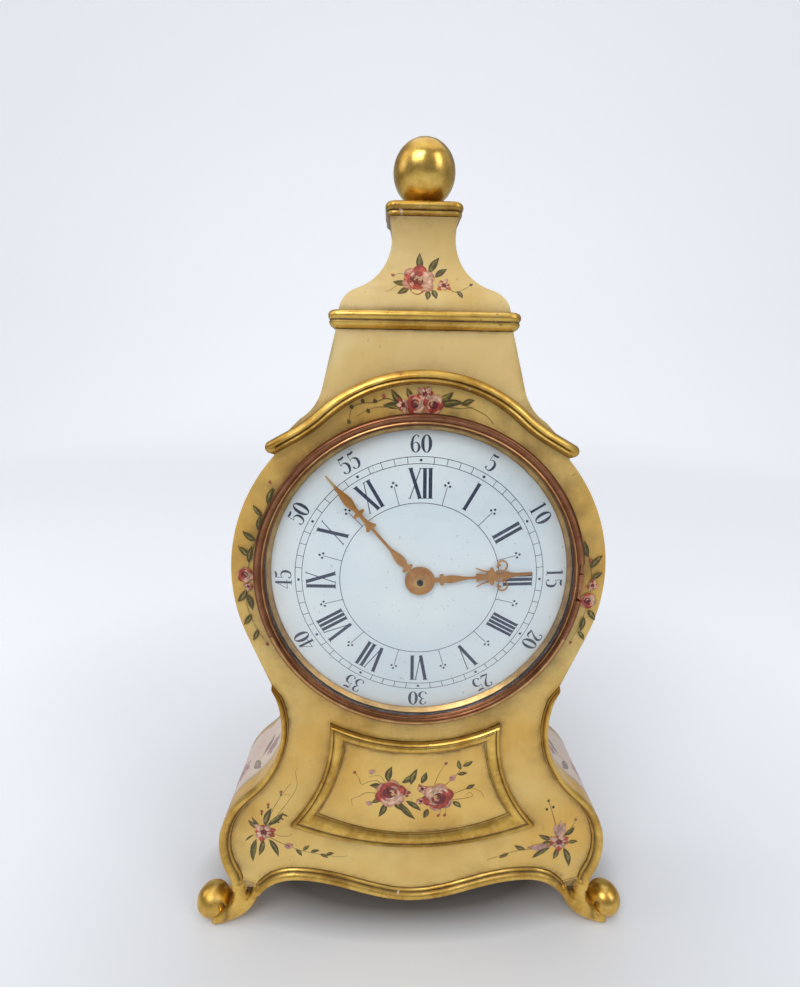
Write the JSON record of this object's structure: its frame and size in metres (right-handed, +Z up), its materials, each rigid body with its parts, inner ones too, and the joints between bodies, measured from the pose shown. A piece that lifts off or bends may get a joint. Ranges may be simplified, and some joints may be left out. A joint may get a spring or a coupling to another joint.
{
  "type": "table clock",
  "caption": "Waisted wooden table clock with a round domed dial, opening glass bezel, stepped crown with ball, gilt mouldings, painted flowers and scroll feet.",
  "frame": {"origin": "centre of the object's box, on the surface that the feet stand on", "axes": "+Z up, -Y to the viewer in front of the dial, +X to that viewer's right"},
  "size_m": [0.2146, 0.0608, 0.3614],
  "materials": {
    "cream_paint": "painted, glazed and varnished",
    "side_paint": "painted",
    "gilding": "gilded over gesso, worn",
    "cartouche_paint": "painted and glazed",
    "bare_wood": "stained",
    "copper_ring": "patinated copper",
    "rehaut_brass": "satin",
    "enamel": "glossy enamel",
    "glass": "clear",
    "brass": "satin",
    "steel": "satin",
    "hand_bronze": "satin",
    "black_plastic": "moulded",
    "white_plastic": "moulded",
    "rubber": "matt",
    "board_green": "lacquered",
    "coil_copper": "wound wire",
    "battery_skin": "printed sleeve without lettering"
  },
  "bodies": {
    "case": {"front_board": "cream_paint", "side_left": "side_paint", "side_right": "side_paint", "back_board": "bare_wood", "bottom_board": "bare_wood", "corner_blocks": "bare_wood", "crown_lower": "cream_paint", "mid_moulding": "gilding", "crown_roof": "cream_paint", "crown_cap": "gilding", "finial_ball": "gilding", "eyebrow_moulding": "gilding", "edge_moulding_left": "gilding", "edge_moulding_right": "gilding", "apron_moulding": "gilding", "cartouche_frame": "gilding", "cartouche_panel": "cartouche_paint", "scroll_foot_left": "gilding", "scroll_foot_right": "gilding", "rear_foot_left": "gilding", "rear_foot_right": "gilding", "rehaut": "rehaut_brass", "dial": "enamel", "case_hinge_leaf": "brass", "bezel_hinge_pin": "steel", "hinge_screws": "brass", "back_hinge_leaves": "brass", "door_hinge_pins": "steel", "turn_button_screw": "steel", "back_screws": "brass", "movement_front_shell": "black_plastic", "movement_rear_shell": "black_plastic", "threaded_bushing": "brass", "fixing_nut": "brass", "rubber_washer": "rubber", "circuit_board": "board_green", "coil": "coil_copper", "stator": "steel", "battery": "battery_skin", "battery_contacts": "steel"},
    "bezel": {"bezel_ring": "copper_ring", "glass": "glass", "glass_retainer": "steel", "bezel_hinge_leaf": "brass"},
    "door": {"back_door": "bare_wood", "door_knob": "brass", "door_hinge_leaves": "brass"},
    "button": {"turn_button": "brass"},
    "minute": {"minute_arbor": "steel", "minute_hand": "hand_bronze", "hand_nut": "hand_bronze"},
    "hour": {"hour_wheel": "white_plastic", "hour_hand": "hand_bronze"},
    "intermediate": {"intermediate_wheel": "white_plastic"},
    "setting": {"setting_knob": "black_plastic"},
    "rotor_body": {"rotor": "steel"},
    "fifth": {"fifth_wheel": "white_plastic"},
    "seconds": {"seconds_wheel": "white_plastic"},
    "third": {"third_wheel": "white_plastic"},
    "centre": {"centre_wheel": "white_plastic"}
  },
  "joints": [
    {"name": "bezel_hinge", "type": "hinge", "parent": "case", "child": "bezel", "pos_m": [0.0669, -0.0224, 0.18459], "axis": [0, 0, 1], "range_deg": [0, 100]},
    {"name": "back_door_hinge", "type": "hinge", "parent": "case", "child": "door", "pos_m": [0.0377, 0.0291, 0.15909], "axis": [0, 0, -1], "range_deg": [0, 110]},
    {"name": "turn_button_turn", "type": "hinge", "parent": "case", "child": "button", "pos_m": [-0.0425, 0.0286, 0.15909], "axis": [0, 1, 0], "range_deg": [0, 90]},
    {"name": "minute_spin", "type": "hinge", "parent": "case", "child": "minute", "pos_m": [0, -0.0124, 0.18459], "axis": [0, 1, 0], "continuous": true},
    {"name": "hour_spin", "type": "hinge", "parent": "case", "child": "hour", "pos_m": [0, -0.0124, 0.18459], "axis": [0, 1, 0], "continuous": true},
    {"name": "intermediate_spin", "type": "hinge", "parent": "case", "child": "intermediate", "pos_m": [0.00658, -0.0124, 0.18219], "axis": [0, 1, 0], "continuous": true},
    {"name": "setting_knob_spin", "type": "hinge", "parent": "case", "child": "setting", "pos_m": [0.01347, -0.0124, 0.18098], "axis": [0, 1, 0], "continuous": true},
    {"name": "rotor_spin", "type": "hinge", "parent": "case", "child": "rotor_body", "pos_m": [0.01457, -0.0124, 0.19117], "axis": [0, 1, 0], "continuous": true},
    {"name": "fifth_spin", "type": "hinge", "parent": "case", "child": "fifth", "pos_m": [0.01032, -0.0124, 0.19853], "axis": [0, 1, 0], "continuous": true},
    {"name": "seconds_spin", "type": "hinge", "parent": "case", "child": "seconds", "pos_m": [0.00343, -0.0124, 0.19731], "axis": [0, 1, 0], "continuous": true},
    {"name": "third_spin", "type": "hinge", "parent": "case", "child": "third", "pos_m": [-0.00842, -0.0124, 0.193], "axis": [0, 1, 0], "continuous": true},
    {"name": "centre_spin", "type": "hinge", "parent": "case", "child": "centre", "pos_m": [0, -0.0124, 0.18459], "axis": [0, 1, 0], "continuous": true}
  ],
  "couplings": [
    {"joint": "hour_spin", "follows": "minute_spin", "ratio": 0.083333},
    {"joint": "intermediate_spin", "follows": "minute_spin", "ratio": -0.33333},
    {"joint": "setting_knob_spin", "follows": "minute_spin", "ratio": 1},
    {"joint": "fifth_spin", "follows": "rotor_spin", "ratio": -0.13333},
    {"joint": "seconds_spin", "follows": "rotor_spin", "ratio": 0.033333},
    {"joint": "third_spin", "follows": "rotor_spin", "ratio": -0.0041667},
    {"joint": "centre_spin", "follows": "rotor_spin", "ratio": 0.00055556}
  ]
}
